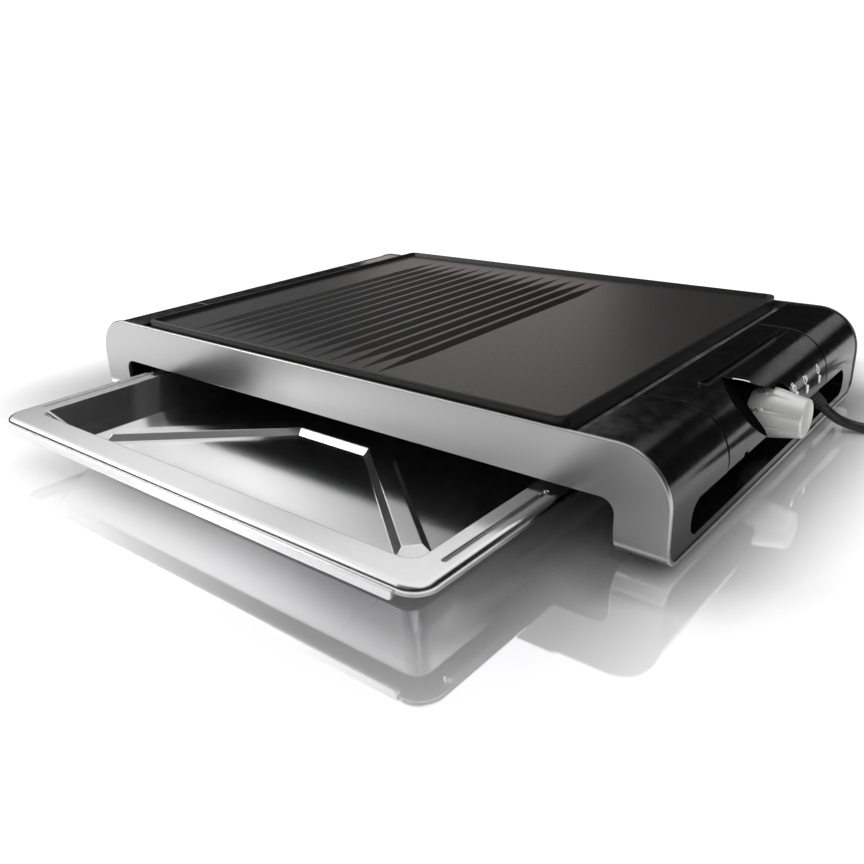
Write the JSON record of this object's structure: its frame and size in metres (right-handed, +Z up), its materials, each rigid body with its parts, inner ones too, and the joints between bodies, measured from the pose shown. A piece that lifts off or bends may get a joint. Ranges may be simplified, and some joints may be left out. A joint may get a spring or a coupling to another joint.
{
  "type": "electric table grill",
  "caption": "Flat electric table grill with a part-ribbed plate, a drip tray that slides out at the front, handle slots in both ends and a detachable control unit with knob and lead.",
  "frame": {"origin": "on the floor under the middle of the body between its two ends and its two silver faces", "axes": "+X along the long side towards the control unit, -Y is the way the drip tray slides out, +Z up"},
  "size_m": [0.7027, 0.5283, 0.08],
  "materials": {
    "silver_sheet": "satin lacquered silver",
    "black_gloss": "high gloss moulded black",
    "black_matt": "matt black moulded",
    "non_stick": "dark non-stick coating on cast aluminium",
    "tray_steel": "polished pressed sheet",
    "zinc_sheet": "plain plated sheet",
    "element_tube": "heat-darkened steel tube",
    "ceramic": "pale ceramic",
    "brass": "plain brass",
    "nickel": "nickel plated",
    "knob_silver": "satin silver lacquered plastic",
    "lens": "milky translucent",
    "board": "laminate board",
    "steel_screw": "plated screw",
    "rubber": "soft matt rubber",
    "cord_black": "black rubber-sheathed lead"
  },
  "bodies": {
    "base": {"front_fascia": "silver_sheet", "rear_fascia": "silver_sheet", "right_bottom_trim": "silver_sheet", "left_bottom_trim": "silver_sheet", "right_end_housing": "black_gloss", "left_end_housing": "black_gloss", "left_center_cover": "black_gloss", "right_bottom_plate": "black_matt", "left_bottom_plate": "black_matt", "base_frame": "zinc_sheet", "reflector_pan": "zinc_sheet", "heating_element": "element_tube", "element_brackets": "zinc_sheet", "terminal_block": "ceramic", "terminal_pins": "nickel", "right_tray_rail": "black_matt", "left_tray_rail": "black_matt", "rubber_feet": "rubber", "plate_screws": "steel_screw", "rail_screws": "steel_screw", "frame_screws": "steel_screw"},
    "grill_plate": {"grill_plate": "non_stick"},
    "drip_tray": {"drip_tray": "tray_steel"},
    "control_unit": {"control_cover": "black_gloss", "control_base": "black_matt", "thermostat_body": "ceramic", "thermostat_probe": "nickel", "contact_sleeves": "brass", "indicator_lenses": "lens", "lamp_board": "board", "indicator_lamps": "lens", "strain_relief": "rubber", "cord_lead": "cord_black", "cord_coil": "cord_black", "cord_tie": "black_matt", "plug_body": "cord_black", "plug_pins": "nickel"},
    "control_knob": {"control_knob": "knob_silver", "knob_shaft": "nickel", "knob_clip": "steel_screw"}
  },
  "joints": [
    {"name": "tray_slide", "type": "slide", "parent": "base", "child": "drip_tray", "axis": [0, -1, 0], "range_m": [-0.125, 0.215]},
    {"name": "plate_lift", "type": "slide", "parent": "base", "child": "grill_plate", "axis": [0, 0, 1], "range_m": [0, 0.06]},
    {"name": "control_unplug", "type": "slide", "parent": "base", "child": "control_unit", "axis": [1, 0, 0], "range_m": [0, 0.1]},
    {"name": "knob_turn", "type": "hinge", "parent": "control_unit", "child": "control_knob", "pos_m": [0.26, 0, 0.0415], "axis": [1, 0, 0], "range_deg": [0, 312]}
  ]
}
